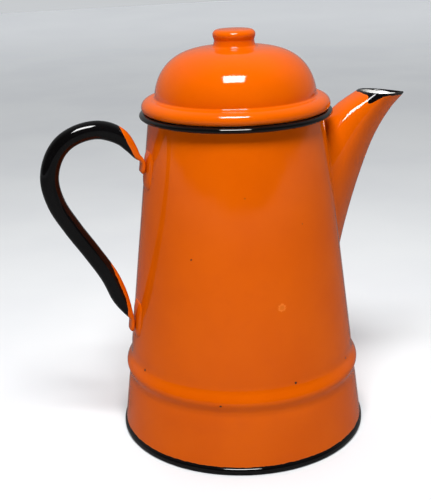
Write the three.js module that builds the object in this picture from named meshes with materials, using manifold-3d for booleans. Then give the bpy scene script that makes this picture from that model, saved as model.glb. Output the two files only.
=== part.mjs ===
// Enamelled sheet-steel coffee pot with a lift-off domed lid.
// Millimetres, +Z up. The origin is the centre of the flat underside, on the pot's axis.
// +X points to the spout and the handle is on the -X side.

import * as THREE from 'three';
import { mergeVertices } from 'three/addons/utils/BufferGeometryUtils.js';
import Module from 'manifold-3d';

const wasm = await Module();
wasm.setup();

// ---- Driving dimensions ----------------------------------------------------------------

const SHEET = 1.2;            // enamelled steel sheet of the pot
const FIT = 0.3;              // gap kept between pieces that are joined or rest on each other

const FOOT_R = 75;            // outside of the rolled foot seam
const POT_H = 196.6;          // floor to the top of the rolled rim
const NECK_R = 50.4;          // outside of the wall at the rim

const SEAM_H = 4.3;           // rolled foot seam
const SEAM_PROUD = 0.5;       // how far the seam stands out past the wall
const SEAM_ROUND = 1.5;       // radius of the seam's outer edges
const PAN_FLANGE_H = 9;       // turned-up edge of the base pan, inside the wall

const SWAGE_Z = 43.3;         // height of the stiffening bead's crest
const SWAGE_OUT = 2.1;        // how far the bead stands out
const SWAGE_BELOW = 6.5;      // bead's run below its crest
const SWAGE_ABOVE = 7;        // bead's run above its crest

const ROLL_OUT = 5.2;         // rolled rim's reach past the wall
const ROLL_H = 3.8;           // height of the rolled rim
const ROLL_SLIT = 0.8;        // slit left between the roll's tail and its own leg

const STRAINER_D = 4;         // strainer holes punched through the wall behind the spout
const STRAINER_PITCH = 8;
const STRAINER_LOW = 35;      // lowest row above the foot of the spout's keel
const STRAINER_HIGH = 13;     // space kept under the spout's shoulder

const SPOUT_REACH = 56.1;     // pouring tip, measured out from the neck
const SPOUT_MOUTH_L = 28;     // mouth, from its rounded back to its tip
const SPOUT_MOUTH_RISE = 3.5; // how much higher the back of the mouth is than its tip
const SPOUT_TIP_DROP = 0.1;   // the tip lies this far below the top of the rim
const SPOUT_ROOT_Z = 93;      // where the keel leaves the wall
const SPOUT_SHOULDER = 11.6;  // the ridge leaves the wall this far below the rolled rim
const SPOUT_ROOT_W = 36;      // width on the wall
const SPOUT_MOUTH_W = 23;     // width at the mouth
const SPOUT_WIDEST = 0.36;    // place of the widest point, ridge 0 to keel 1
const SPOUT_FULLNESS = 1.6;   // 1 gives flat flanks down to the keel, more gives rounder ones
const SPOUT_KEEL_SHEET = 2.6; // metal in the folded keel, measured across it

const HANDLE_D = 10.4;        // round tube
const HANDLE_BORE = 8;
const HANDLE_DROP = 24.1;     // upper neck below the top of the rim
const HANDLE_LOW_Z = 77;      // lower neck
const HANDLE_REACH = 56.5;    // wall to tube centreline at the widest part of the grip
const HANDLE_CROWN = 18.8;    // rise of the arch above the upper neck
const STRAP_T = 2.4;          // flattened ends of the tube
const STRAP_W = 9;
const PRESSED_BORE_W = 6;     // width of the bore's flat ends
const TONGUE_L = 8.5;         // length of strap that is turned down against its plate
const PRESSED_TOP = 27;       // the upper end goes from strap to round over this length
const PRESSED_LOW = 20;       // and the lower end over this one
const BORE_END = 0.7;         // share of the pressed length that the bore leaves solid
const VENT_D = 3;             // vent hole that lets the hollow tube breathe in the kiln
const VENT_IN = 10;           // the vent's distance from the bore's lower end

const PLATE_T = 1.2;          // plates between the handle's ends and the wall
const PLATE_W = 17;
const PLATE_H = 22;
const UPPER_PLATE_DROP = 7;   // centre of each plate below its neck of the handle
const LOWER_PLATE_DROP = 1.1;

const LID_T = 1;              // sheet of the lid
const BRIM_OVER = 3.8;        // brim's reach past the neck
const BRIM_H = 7.2;           // height of the brim
const BRIM_SHOULDER = 6;      // width of the rounding over the brim's edge
const BRIM_UNDER = 2.5;       // height of the brim's widest point above its lower edge
const BRIM_TUCK = 1.1;        // how far the brim's lower edge is drawn in
const DOME_IN = 4.1;          // dome's side is set in from the neck
const DOME_H = 27.9;          // brim top to dome top
const DOME_SIDE = 0.57;       // power that shapes the dome: less gives steeper sides
const DOME_CROWN = 1.06;      // power that shapes its top: more gives a flatter one
const BRIM_FILLET = 1.2;      // concave corner between dome and brim
const COLLAR_H = 12;          // depth of the locating band inside the mouth
const COLLAR_T = 0.8;
const COLLAR_FLANGE = 1.5;    // reach and rise of the band's flange under the brim
const COLLAR_PLAY = 0.9;      // radial play of the band in the mouth

const KNOB_R = 12.1;
const KNOB_EDGE = 3;          // radius over the knob's top edge
const KNOB_WAIST_R = 11.4;
const KNOB_WAIST_H = 3.4;     // height of the waist above the foot
const KNOB_FOOT_R = 12.4;
const KNOB_H = 9.2;

const ROUND_SIDES = 40;       // facets round the pot and lid
const SPOUT_STEPS = 13;       // sections along the spout, the last one at the end of its run-out
const SMALL_SIDES = 10;       // facets round tubes and small holes

// ---- Derived sizes ---------------------------------------------------------------------

const wallBottomZ = SEAM_H + FIT;
const rollMidZ = POT_H - ROLL_H / 2;
const rollBottomZ = POT_H - ROLL_H;
const floorR = FOOT_R - SEAM_PROUD;
const taper = (floorR - NECK_R) / rollMidZ;
const shoulderZ = rollBottomZ - SPOUT_SHOULDER;
const handleTopZ = POT_H - HANDLE_DROP;
const mouthR = NECK_R - SHEET;

// Outside radius of the plain cone at height z.
function wallR(z) {
  return floorR - taper * z;
}

// How far the stiffening bead lifts the wall at height z.
function swage(z) {
  const run = z < SWAGE_Z ? SWAGE_BELOW : SWAGE_ABOVE;
  const x = Math.abs(z - SWAGE_Z) / run;
  return x < 1 ? SWAGE_OUT * (0.5 + 0.5 * Math.cos(Math.PI * x)) : 0;
}

const FINISH = {
  orange: { color: 0xd9600a, roughness: 0.16, metalness: 0 },
  black: { color: 0x0b0b0d, roughness: 0.14, metalness: 0 },
};

// ---- Helpers ---------------------------------------------------------------------------

// Revolves an outline of [radius, height] points about +Z. The outline runs counter-clockwise
// with radius to the right and height up; it closes on itself or starts and ends on the axis.
function lathe(outline, sides = ROUND_SIDES) {
  const points = outline.map(([r, z]) => new THREE.Vector2(r, z));
  return new THREE.LatheGeometry(points, sides).rotateX(Math.PI / 2);
}

// Points on an ellipse arc, angles in degrees from the +r direction.
function arc(cr, cz, a, b, from, to, steps) {
  const points = [];
  for (let i = 0; i <= steps; i++) {
    const angle = THREE.MathUtils.degToRad(from + ((to - from) * i) / steps);
    points.push([cr + a * Math.cos(angle), cz + b * Math.sin(angle)]);
  }
  return points;
}

// Moves every point of an open outline to its left by a distance.
function offsetLeft(outline, distance) {
  return outline.map(([r, z], i) => {
    const before = outline[Math.max(i - 1, 0)];
    const after = outline[Math.min(i + 1, outline.length - 1)];
    const dr = after[0] - before[0];
    const dz = after[1] - before[1];
    const length = Math.hypot(dr, dz);
    return [r - (dz / length) * distance, z + (dr / length) * distance];
  });
}

// Closed outline of a thin sheet whose outside face is an open outline running upwards.
function sheetOutline(outside, thickness) {
  const inside = offsetLeft(outside, thickness).reverse();
  return [...outside, ...inside, outside[0]];
}

// The same for a sheet that closes over the axis, with a level lower edge.
function capOutline(outside, thickness) {
  const inside = offsetLeft(outside, thickness).reverse();
  const [edgeR, edgeZ] = outside[0];
  const top = outside[outside.length - 1][1];
  inside[0] = [0, top - thickness];
  inside[inside.length - 1] = [edgeR - thickness, edgeZ];
  return [...inside, ...outside];
}

// Turns a closed three.js geometry into a solid that can be joined and cut.
function toSolid(geometry) {
  const bare = geometry.clone();
  bare.deleteAttribute('normal');
  bare.deleteAttribute('uv');
  const merged = mergeVertices(bare, 1e-4);
  const index = merged.index.array;
  const kept = [];
  for (let i = 0; i < index.length; i += 3) {
    const [a, b, c] = [index[i], index[i + 1], index[i + 2]];
    if (a !== b && b !== c && c !== a) kept.push(a, b, c);
  }
  return new wasm.Manifold(new wasm.Mesh({
    numProp: 3,
    vertProperties: new Float32Array(merged.attributes.position.array),
    triVerts: new Uint32Array(kept),
  }));
}

function toGeometry(solid) {
  const mesh = solid.getMesh();
  const geometry = new THREE.BufferGeometry();
  geometry.setAttribute('position', new THREE.BufferAttribute(mesh.vertProperties, 3));
  geometry.setIndex(new THREE.BufferAttribute(mesh.triVerts, 1));
  geometry.computeVertexNormals();
  return geometry;
}

// Extrudes a flat outline and carries its corners to place(x, y, t), with t from 0 to 1.
function bentExtrusion(outline, steps, place) {
  const shape = new THREE.Shape(outline.map(([x, y]) => new THREE.Vector2(x, y)));
  const geometry = new THREE.ExtrudeGeometry(shape, { depth: 1, steps, bevelEnabled: false });
  const position = geometry.attributes.position;
  for (let i = 0; i < position.count; i++) {
    const point = place(position.getX(i), position.getY(i), position.getZ(i));
    position.setXYZ(i, point.x, point.y, point.z);
  }
  return geometry;
}

function part(name, geometry, finish) {
  const mesh = new THREE.Mesh(geometry, new THREE.MeshStandardMaterial(finish));
  mesh.name = name;
  return mesh;
}

// ---- Pot body --------------------------------------------------------------------------

// Cylinders along X that punch the strainer holes through the +X side of the wall.
function strainerDrills() {
  const low = SPOUT_ROOT_Z + STRAINER_LOW;
  const space = shoulderZ - STRAINER_HIGH - low;
  const rows = Math.max(Math.floor(space / STRAINER_PITCH), 0) + 1;
  let drills = null;
  for (let row = 0; row < rows; row++) {
    const count = 2 + (row % 2);
    for (let i = 0; i < count; i++) {
      const y = (i - (count - 1) / 2) * STRAINER_PITCH;
      const z = low + row * STRAINER_PITCH;
      const drill = new THREE.CylinderGeometry(STRAINER_D / 2, STRAINER_D / 2, 16, SMALL_SIDES)
        .rotateZ(Math.PI / 2)
        .translate(wallR(z), y, z);
      drills = drills ? drills.add(toSolid(drill)) : toSolid(drill);
    }
  }
  return drills;
}

// Tapered wall with its stiffening bead, open at both ends.
function potWall() {
  const outside = [[wallR(wallBottomZ), wallBottomZ]];
  const steps = 8;
  const low = SWAGE_Z - SWAGE_BELOW;
  for (let i = 0; i <= steps; i++) {
    const z = low + ((SWAGE_BELOW + SWAGE_ABOVE) * i) / steps;
    outside.push([wallR(z) + swage(z), z]);
  }
  const top = rollBottomZ - FIT;
  outside.push([wallR(top), top]);
  return toGeometry(toSolid(lathe(sheetOutline(outside, SHEET))).subtract(strainerDrills()));
}

// Rim of the wall, rolled outwards and down into an open curl.
function rimRoll() {
  const width = (SHEET + ROLL_OUT) / 2;
  const height = ROLL_H / 2;
  const centre = mouthR + width;
  const tail = -THREE.MathUtils.radToDeg(Math.acos((NECK_R + ROLL_SLIT - centre) / width));
  const outer = arc(centre, rollMidZ, width, height, tail, 180, 10);
  const inner = arc(centre, rollMidZ, width - SHEET, height - SHEET, 180, tail, 8);
  const leg = [[mouthR, rollBottomZ], [NECK_R, rollBottomZ]];
  return lathe([...outer, ...leg, ...inner, outer[0]]);
}

// Flat bottom with a turned-up flange inside the wall and a rolled seam under the wall's edge.
function basePan() {
  const flangeR = (z) => wallR(z) - SHEET - FIT;
  const seamOuter = [
    ...arc(FOOT_R - SEAM_ROUND, SEAM_ROUND, SEAM_ROUND, SEAM_ROUND, -90, 0, 3),
    ...arc(FOOT_R - SEAM_ROUND, SEAM_H - SEAM_ROUND, SEAM_ROUND, SEAM_ROUND, 0, 90, 3),
  ];
  return lathe([
    [0, 0],
    ...seamOuter,
    [flangeR(SEAM_H), SEAM_H],
    [flangeR(PAN_FLANGE_H), PAN_FLANGE_H],
    [flangeR(PAN_FLANGE_H) - SHEET, PAN_FLANGE_H],
    [flangeR(SHEET) - SHEET, SHEET],
    [0, SHEET],
  ]);
}

// ---- Spout -----------------------------------------------------------------------------

// Ridge and keel curves of the spout in the XZ plane, from inside the wall out to the mouth.
function spoutCurves() {
  const tip = new THREE.Vector3(NECK_R + SPOUT_REACH, 0, POT_H - SPOUT_TIP_DROP);
  const back = tip.clone().add(new THREE.Vector3(-SPOUT_MOUTH_L, 0, SPOUT_MOUTH_RISE));
  const shoulder = new THREE.Vector3(wallR(shoulderZ), 0, shoulderZ);
  const heel = new THREE.Vector3(wallR(SPOUT_ROOT_Z), 0, SPOUT_ROOT_Z);

  const ridgeMid = shoulder.clone().lerp(back, 0.55).add(new THREE.Vector3(-1, 0, 1.4));
  const ridgeStart = shoulder.clone().sub(ridgeMid.clone().sub(shoulder).multiplyScalar(0.5));

  const rise = tip.clone().sub(heel);
  const along = (x, z) => new THREE.Vector3(heel.x + rise.x * x, 0, heel.z + rise.z * z);
  const keelStart = along(-0.035, -0.075);
  return {
    ridge: new THREE.CatmullRomCurve3([ridgeStart, shoulder, ridgeMid, back]),
    keel: new THREE.CatmullRomCurve3([
      keelStart, along(0.16, 0.28), along(0.36, 0.55), along(0.58, 0.775), along(0.82, 0.925), tip,
    ]),
  };
}

// Half of the spout's section: rounded at the ridge (x = 0) and pointed at the keel (x = 1).
function spoutSection() {
  const half = [];
  const steps = 6;
  for (let i = 0; i <= steps; i++) {
    const angle = (Math.PI / 2) * (i / steps);
    half.push([SPOUT_WIDEST * (1 - Math.cos(angle)), Math.sin(angle)]);
  }
  for (let i = 1; i <= steps; i++) {
    const x = i / steps;
    half.push([SPOUT_WIDEST + (1 - SPOUT_WIDEST) * x, 1 - x ** SPOUT_FULLNESS]);
  }
  return [...half.map(([x, y]) => [x, -y]), ...half.slice(1, -1).reverse()];
}

// One skin of the spout, set in from the outside and run on past the mouth by a distance.
function spoutSkin(inset, keelInset, runOut) {
  const { ridge, keel } = spoutCurves();
  return bentExtrusion(spoutSection(), SPOUT_STEPS, (x, y, t) => {
    const u = Math.min((t * SPOUT_STEPS) / (SPOUT_STEPS - 1), 1);
    const top = ridge.getPointAt(u);
    const bottom = keel.getPointAt(u);
    if (t === 1) {
      top.addScaledVector(ridge.getTangentAt(1), runOut);
      bottom.addScaledVector(keel.getTangentAt(1), runOut);
    }
    const across = bottom.clone().sub(top);
    const depth = across.length();
    across.normalize();
    const width = THREE.MathUtils.lerp(SPOUT_ROOT_W, SPOUT_MOUTH_W, u) / 2 - inset;
    const point = top.addScaledVector(across, inset + x * (depth - inset - keelInset));
    point.y = y * width;
    return point;
  });
}

// Hollow spout, trimmed to sit on the wall.
function spoutShell() {
  const bottom = SPOUT_ROOT_Z - 30;
  const top = POT_H + 20;
  const potCone = toSolid(lathe([
    [0, bottom], [wallR(bottom) + FIT, bottom], [wallR(top) + FIT, top], [0, top],
  ]));
  const outside = toSolid(spoutSkin(0, 0, 0));
  const shell = outside.subtract(toSolid(spoutSkin(SHEET, SPOUT_KEEL_SHEET, 2)));
  return toGeometry(shell.subtract(potCone));
}

// ---- Handle ----------------------------------------------------------------------------

// Distance from the axis to the middle of a strap that lies on its plate at height z.
function strapX(z) {
  return wallR(z) + FIT + PLATE_T + FIT + STRAP_T / 2;
}

// Centreline of the handle in the XZ plane, from the upper tongue round the grip to the lower.
function handlePath() {
  const topX = strapX(handleTopZ);
  const lowX = strapX(HANDLE_LOW_Z);
  const reach = wallR(handleTopZ) + HANDLE_REACH - topX;
  const span = handleTopZ - HANDLE_LOW_Z;
  const bend = STRAP_T;
  const tongue = (z) => [strapX(z), z];
  const arch = (x, rise) => [topX + reach * x, handleTopZ + HANDLE_CROWN * rise];
  const grip = (x, drop) => [topX + reach * x, handleTopZ - span * drop];
  const points = [
    tongue(handleTopZ - TONGUE_L),
    tongue(handleTopZ - bend),
    [topX + bend * 0.5, handleTopZ],
    [topX + bend * 1.4, handleTopZ + bend * 0.8],
    arch(0.12, 0.36),
    arch(0.21, 0.69),
    arch(0.33, 0.9),
    arch(0.48, 1),
    arch(0.67, 0.92),
    arch(0.83, 0.68),
    arch(0.94, 0.28),
    grip(1, 0.07),
    grip(0.95, 0.22),
    grip(0.8, 0.38),
    grip(0.61, 0.55),
    grip(0.44, 0.715),
    [lowX + bend * 2.4, HANDLE_LOW_Z + bend * 5],
    [lowX + bend * 1.1, HANDLE_LOW_Z + bend * 2],
    [lowX + bend * 0.2, HANDLE_LOW_Z],
    tongue(HANDLE_LOW_Z - bend),
    tongue(HANDLE_LOW_Z - TONGUE_L),
  ];
  return new THREE.CatmullRomCurve3(points.map(([x, z]) => new THREE.Vector3(-x, 0, z)));
}

// Share of the full round tube at a distance along the path: 0 on a strap, 1 on the grip.
function roundness(distance, length) {
  const fromTop = (distance - TONGUE_L) / PRESSED_TOP;
  const fromLow = (length - distance - TONGUE_L) / PRESSED_LOW;
  const x = THREE.MathUtils.clamp(Math.min(fromTop, fromLow), 0, 1);
  return Math.sin((Math.PI / 2) * x);
}

// A stretch of the handle from one share of its length to another, inset from its surface.
function handleStretch(path, from, to, steps, thick, wide, endThick, endWide) {
  const length = path.getLength();
  const outline = [];
  for (let i = 0; i < SMALL_SIDES; i++) {
    const angle = (2 * Math.PI * i) / SMALL_SIDES;
    outline.push([Math.cos(angle), Math.sin(angle)]);
  }
  return bentExtrusion(outline, steps, (x, y, t) => {
    const u = THREE.MathUtils.lerp(from, to, t);
    const blend = roundness(u * length, length);
    const tangent = path.getTangentAt(u);
    const normal = new THREE.Vector3(0, 1, 0).cross(tangent).normalize();
    const point = path.getPointAt(u).addScaledVector(normal,
      (x * THREE.MathUtils.lerp(endThick, thick, blend)) / 2);
    point.y = (y * THREE.MathUtils.lerp(endWide, wide, blend)) / 2;
    return point;
  });
}

// Hollow tube handle: its ends are pressed flat and turned down against their plates.
function handleTube() {
  const path = handlePath();
  const length = path.getLength();
  const boreFrom = (TONGUE_L + PRESSED_TOP * BORE_END) / length;
  const boreTo = 1 - (TONGUE_L + PRESSED_LOW * BORE_END) / length;
  const outside = handleStretch(path, 0, 1, 52, HANDLE_D, HANDLE_D, STRAP_T, STRAP_W);
  const bore = handleStretch(path, boreFrom, boreTo, 26, HANDLE_BORE, HANDLE_BORE,
    0, PRESSED_BORE_W);
  const ventPoint = path.getPointAt(boreTo - VENT_IN / length);
  const vent = new THREE.CylinderGeometry(VENT_D / 2, VENT_D / 2, HANDLE_D, 8)
    .rotateZ(Math.PI / 2)
    .translate(ventPoint.x + HANDLE_D / 2, 0, ventPoint.z);
  return toGeometry(toSolid(outside).subtract(toSolid(bore)).subtract(toSolid(vent)));
}

// Plate curved to the wall, with rounded corners, centred at height z on the handle's side.
function handlePlate(z) {
  const low = z - PLATE_H;
  const high = z + PLATE_H;
  const sleeve = toSolid(lathe([
    [wallR(low) + FIT, low],
    [wallR(low) + FIT + PLATE_T, low],
    [wallR(high) + FIT + PLATE_T, high],
    [wallR(high) + FIT, high],
    [wallR(low) + FIT, low],
  ], ROUND_SIDES * 2));
  const round = PLATE_W / 3;
  const w = PLATE_W / 2 - round;
  const h = PLATE_H / 2 - round;
  const outline = [
    ...arc(w, h, round, round, 0, 90, 5),
    ...arc(-w, h, round, round, 90, 180, 5),
    ...arc(-w, -h, round, round, 180, 270, 5),
    ...arc(w, -h, round, round, 270, 360, 5),
  ];
  const reach = FOOT_R + 10;
  const stamp = bentExtrusion(outline, 1, (x, y, t) => new THREE.Vector3(-reach * t, -x, z + y));
  return toGeometry(sleeve.intersect(toSolid(stamp)));
}

// ---- Lid -------------------------------------------------------------------------------

const brimBottomZ = POT_H + FIT;
const brimTopZ = brimBottomZ + BRIM_H;
const domeTopZ = brimTopZ + DOME_H;
const brimR = NECK_R + BRIM_OVER;
const domeR = NECK_R - DOME_IN;

// Outside of the dome, from its side up to the axis: steep sides that round over to the top.
function domeOutline(fromZ) {
  const points = [];
  const steps = 9;
  const first = Math.asin(((fromZ - brimTopZ) / DOME_H) ** (1 / DOME_CROWN));
  for (let i = 0; i < steps; i++) {
    const angle = first + ((Math.PI / 2 - first) * i) / steps;
    points.push([
      domeR * Math.cos(angle) ** DOME_SIDE,
      brimTopZ + DOME_H * Math.sin(angle) ** DOME_CROWN,
    ]);
  }
  points.push([domeR * 0.12, domeTopZ]);
  points.push([0, domeTopZ]);
  return points;
}

// Domed shell with a rounded brim that rests on the rolled rim.
function lidDome() {
  const widestZ = brimBottomZ + BRIM_UNDER;
  const tuckDeg = 60;
  const tuckR = BRIM_TUCK / (1 - Math.cos(THREE.MathUtils.degToRad(tuckDeg)));
  const tuckH = BRIM_UNDER / Math.sin(THREE.MathUtils.degToRad(tuckDeg));
  const filletR = domeR + BRIM_FILLET;
  const outside = [
    ...arc(brimR - tuckR, widestZ, tuckR, tuckH, -tuckDeg, 0, 3),
    ...arc(brimR - BRIM_SHOULDER, widestZ, BRIM_SHOULDER, BRIM_H - BRIM_UNDER, 15, 88, 6),
    ...arc(filletR, brimTopZ + BRIM_FILLET, BRIM_FILLET, BRIM_FILLET, 270, 180, 3),
    ...domeOutline(brimTopZ + BRIM_FILLET + 1),
  ];
  return lathe(capOutline(outside, LID_T));
}

// Locating band that hangs inside the mouth, flanged out under the brim.
function lidCollar() {
  const bandR = mouthR - COLLAR_PLAY;
  const flangeZ = brimTopZ - LID_T - 2 * FIT;
  const outside = [
    [bandR, POT_H - COLLAR_H],
    [bandR, POT_H - COLLAR_H / 2],
    ...arc(bandR + COLLAR_FLANGE, flangeZ - COLLAR_FLANGE, COLLAR_FLANGE, COLLAR_FLANGE,
      180, 90, 3),
  ];
  const inside = offsetLeft(outside, COLLAR_T).reverse();
  const sunk = ([r, z]) => [r, Math.min(z, flangeZ)];
  return lathe([...outside, ...inside.map(sunk), outside[0]]);
}

// Pressed hollow knob, open below where it is joined to the dome.
function lidKnob() {
  const foot = domeTopZ + FIT;
  const top = foot + KNOB_H;
  const waist = foot + KNOB_WAIST_H;
  const edge = top - KNOB_EDGE;
  const flare = (KNOB_FOOT_R - KNOB_WAIST_R) / 2;
  const outside = [
    [KNOB_FOOT_R, foot],
    [KNOB_WAIST_R + flare * 0.8, foot + flare],
    [KNOB_WAIST_R + flare * 0.15, foot + KNOB_WAIST_H * 0.6],
    [KNOB_WAIST_R, waist],
    [KNOB_WAIST_R + (KNOB_R - KNOB_WAIST_R) * 0.7, (waist + edge) / 2],
    ...arc(KNOB_R - KNOB_EDGE, edge, KNOB_EDGE, KNOB_EDGE * 0.9, 0, 70, 3),
    [KNOB_R * 0.5, top - KNOB_EDGE * 0.1],
    [KNOB_R * 0.2, top],
    [0, top],
  ];
  return lathe(capOutline(outside, LID_T), ROUND_SIDES / 2);
}

// ---- Assembly --------------------------------------------------------------------------

const upperPlateZ = handleTopZ - UPPER_PLATE_DROP;
const lowerPlateZ = HANDLE_LOW_Z - LOWER_PLATE_DROP;

const pot = new THREE.Group();
pot.add(
  part('pot_wall', potWall(), FINISH.orange),
  part('rim_roll', rimRoll(), FINISH.black),
  part('base_pan', basePan(), FINISH.black),
  part('spout_shell', spoutShell(), FINISH.orange),
  part('handle_tube', handleTube(), FINISH.black),
  part('handle_plate_upper', handlePlate(upperPlateZ), FINISH.orange),
  part('handle_plate_lower', handlePlate(lowerPlateZ), FINISH.orange),
);

const lid = new THREE.Group();
lid.add(
  part('lid_dome', lidDome(), FINISH.orange),
  part('lid_collar', lidCollar(), FINISH.orange),
  part('lid_knob', lidKnob(), FINISH.orange),
);

const coffeePot = new THREE.Group();
coffeePot.add(pot, lid);

export default coffeePot;
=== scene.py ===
import math

import bpy
import numpy as np
from mathutils import Matrix, Vector, noise


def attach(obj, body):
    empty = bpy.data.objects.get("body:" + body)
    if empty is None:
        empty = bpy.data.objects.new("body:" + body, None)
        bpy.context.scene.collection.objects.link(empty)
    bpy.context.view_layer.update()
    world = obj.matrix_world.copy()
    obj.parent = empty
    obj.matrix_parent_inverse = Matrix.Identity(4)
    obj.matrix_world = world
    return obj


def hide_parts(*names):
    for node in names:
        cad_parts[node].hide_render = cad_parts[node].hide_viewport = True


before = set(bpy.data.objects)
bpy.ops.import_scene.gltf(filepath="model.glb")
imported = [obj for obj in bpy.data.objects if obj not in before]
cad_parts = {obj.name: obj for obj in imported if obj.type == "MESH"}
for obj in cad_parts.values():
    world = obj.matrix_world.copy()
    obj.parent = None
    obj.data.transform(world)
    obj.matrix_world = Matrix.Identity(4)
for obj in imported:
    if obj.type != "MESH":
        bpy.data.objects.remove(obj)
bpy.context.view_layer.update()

# Lengths below are in millimetres, as in the CAD, and turn to metres when a mesh is made.
MM = 0.001

SHEET = 1.2
FIT = 0.3
FOOT_R = 75.0
POT_H = 196.6
NECK_R = 50.4
SEAM_H = 4.3
SEAM_PROUD = 0.5
SWAGE_Z = 43.3
SWAGE_OUT = 2.1
SWAGE_BELOW = 6.5
SWAGE_ABOVE = 7.0
ROLL_OUT = 5.2
ROLL_H = 3.8
STRAINER_D = 4.0
STRAINER_PITCH = 8.0
STRAINER_LOW_Z = 128.0
STRAINER_HIGH = 13.0
SPOUT_REACH = 56.1
SPOUT_MOUTH_L = 28.0
SPOUT_MOUTH_RISE = 3.5
SPOUT_TIP_DROP = 0.1
SPOUT_ROOT_Z = 93.0
SPOUT_SHOULDER = 11.6
SPOUT_ROOT_W = 36.0
SPOUT_MOUTH_W = 23.0
SPOUT_WIDEST = 0.36
SPOUT_FULLNESS = 1.6
SPOUT_KEEL_SHEET = 2.6
SPOUT_SQUARE = 0.76
HANDLE_D = 10.4
HANDLE_DROP = 24.1
HANDLE_LOW_Z = 77.0
HANDLE_REACH = 56.5
HANDLE_CROWN = 18.8
STRAP_T = 2.4
STRAP_W = 9.0
TONGUE_L = 8.5
PRESSED_TOP = 27.0
PRESSED_LOW = 20.0
PLATE_T = 1.2
PLATE_W = 17.0
PLATE_H = 22.0
UPPER_PLATE_DROP = 7.0
LOWER_PLATE_DROP = 1.1
LID_T = 1.0
PAN_FLANGE_H = 9.0
BRIM_OVER = 3.8
BRIM_H = 7.2
BRIM_SHOULDER = 6.0
BRIM_UNDER = 2.5
BRIM_TUCK = 1.1
DOME_IN = 4.1
DOME_H = 27.9
DOME_SIDE = 0.57
DOME_CROWN = 1.06
BRIM_FILLET = 1.2
COLLAR_H = 12.0
COLLAR_T = 0.8
COLLAR_FLANGE = 1.5
COLLAR_PLAY = 0.9
KNOB_R = 12.1
KNOB_EDGE = 3.0
KNOB_WAIST_R = 11.4
KNOB_WAIST_H = 3.4
KNOB_FOOT_R = 12.4
KNOB_H = 9.2

roll_mid_z = POT_H - ROLL_H / 2
roll_bottom_z = POT_H - ROLL_H
floor_r = FOOT_R - SEAM_PROUD
taper = (floor_r - NECK_R) / roll_mid_z
mouth_r = NECK_R - SHEET
shoulder_z = roll_bottom_z - SPOUT_SHOULDER
handle_top_z = POT_H - HANDLE_DROP
brim_bottom_z = POT_H + FIT
brim_top_z = brim_bottom_z + BRIM_H
dome_top_z = brim_top_z + DOME_H
brim_r = NECK_R + BRIM_OVER
dome_r = NECK_R - DOME_IN

SIDES = 256

# How the fired enamel takes light.
ENAMEL_IOR = 1.52
ENAMEL_SPECULAR = 0.3
BLACK_SPECULAR = 0.4
BUMP_DEPTH = 0.00002
BUMP_STRENGTH = 0.55


def wall_r(z):
    return floor_r - taper * z


def swage(z):
    """The stiffening bead, with the shallow groove the rolling tool leaves below it."""
    run = SWAGE_BELOW if z < SWAGE_Z else SWAGE_ABOVE
    x = abs(z - SWAGE_Z) / run
    lift = SWAGE_OUT * (0.5 + 0.5 * math.cos(math.pi * x)) if x < 1 else 0.0
    groove = 0.25 * math.exp(-(((z - SWAGE_Z + 8.6) / 2.2) ** 2))
    groove += 0.14 * math.exp(-(((z - SWAGE_Z - 8.8) / 2.4) ** 2))
    return lift - groove


# ---- Mesh helpers ----------------------------------------------------------------------


def arc(cr, cz, a, b, start, end, steps):
    points = []
    for i in range(steps + 1):
        angle = math.radians(start + (end - start) * i / steps)
        points.append((cr + a * math.cos(angle), cz + b * math.sin(angle)))
    return points


def densify(outline, longest):
    """Splits the long stretches of an open outline."""
    points = [outline[0]]
    for (r0, z0), (r1, z1) in zip(outline, outline[1:]):
        steps = max(1, math.ceil(math.hypot(r1 - r0, z1 - z0) / longest))
        for i in range(1, steps + 1):
            t = i / steps
            points.append((r0 + (r1 - r0) * t, z0 + (z1 - z0) * t))
    return points


def offset_left(outline, distance):
    points = []
    for i, (r, z) in enumerate(outline):
        before = outline[max(i - 1, 0)]
        after = outline[min(i + 1, len(outline) - 1)]
        dr, dz = after[0] - before[0], after[1] - before[1]
        length = math.hypot(dr, dz)
        points.append((r - dz / length * distance, z + dr / length * distance))
    return points


def make_object(name, verts, faces, materials, face_slots=None):
    mesh = bpy.data.meshes.new(name)
    mesh.from_pydata([Vector(v) * MM for v in verts], [], faces)
    for material in materials:
        mesh.materials.append(material)
    if face_slots is not None:
        mesh.polygons.foreach_set("material_index", face_slots)
    mesh.polygons.foreach_set("use_smooth", [True] * len(mesh.polygons))
    mesh.update()
    obj = bpy.data.objects.new(name, mesh)
    bpy.context.scene.collection.objects.link(obj)
    return obj


def revolve(name, outline, materials, slot_of=None, sides=SIDES):
    """Revolves [r, z] points, counter-clockwise with r to the right and z up, about +Z.
    slot_of(i) gives the material slot of the band between points i and i + 1."""
    verts, rings = [], []
    for r, z in outline:
        if r < 1e-6:
            rings.append([len(verts)] * sides)
            verts.append((0, 0, z))
            continue
        rings.append(list(range(len(verts), len(verts) + sides)))
        for k in range(sides):
            angle = 2 * math.pi * k / sides
            verts.append((r * math.cos(angle), r * math.sin(angle), z))
    faces, slots = [], []
    for i in range(len(outline)):
        a, b = rings[i], rings[(i + 1) % len(outline)]
        if a[0] == a[1] and b[0] == b[1]:
            continue
        for k in range(sides):
            n = (k + 1) % sides
            corners = [a[k], a[n], b[n], b[k]]
            face = [c for j, c in enumerate(corners) if c != corners[j - 1]]
            faces.append(face)
            slots.append(slot_of(i) if slot_of else 0)
    return make_object(name, verts, faces, materials, slots)


def grid(rows, wrap_rows=False):
    """Quads over rows of points, each row a closed loop."""
    count = len(rows[0])
    verts = [p for row in rows for p in row]
    faces = []
    last = len(rows) if wrap_rows else len(rows) - 1
    for i in range(last):
        a, b = i * count, ((i + 1) % len(rows)) * count
        for k in range(count):
            n = (k + 1) % count
            faces.append((a + k, a + n, b + n, b + k))
    return verts, faces


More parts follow.
